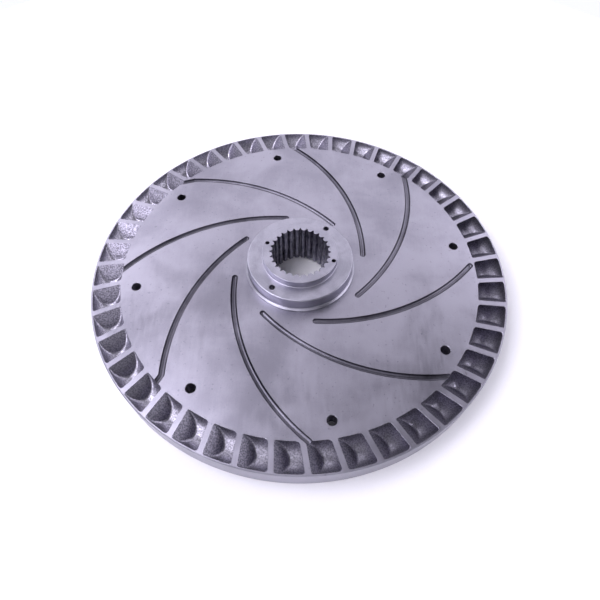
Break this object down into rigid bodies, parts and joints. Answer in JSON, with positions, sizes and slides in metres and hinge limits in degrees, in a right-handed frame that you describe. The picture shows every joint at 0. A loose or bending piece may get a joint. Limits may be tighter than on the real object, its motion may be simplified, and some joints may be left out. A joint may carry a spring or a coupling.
{
  "type": "flywheel",
  "caption": "Flat cast flywheel with a ring of slanted rim pockets, curved face grooves, a ring of bolt holes and a stepped hub with a splined bore.",
  "frame": {"origin": "on the shaft axis, in the plane that the rim stands on", "axes": "+Z along the shaft axis, out of the pocketed face; +X and +Y lie in the plane of the disc, and a vane's top edge crosses the middle of the pocket ring 4.3 degrees from +X"},
  "size_m": [0.4198, 0.42, 0.0483],
  "materials": {
    "cast_iron": "turned and ground bright on the face, rim and vane tops; rough sand-cast in the pockets",
    "hub_steel": "fine turned",
    "black_steel": "black oxide, slightly oiled",
    "pin_steel": "ground"
  },
  "bodies": {
    "root": {"disc_casting": "cast_iron", "splined_hub": "hub_steel", "hub_screw_1": "black_steel", "hub_screw_2": "black_steel", "hub_screw_3": "black_steel", "hub_screw_4": "black_steel", "hub_screw_5": "black_steel", "hub_screw_6": "black_steel", "dowel_pin_1": "pin_steel", "dowel_pin_2": "pin_steel"}
  },
  "joints": []
}
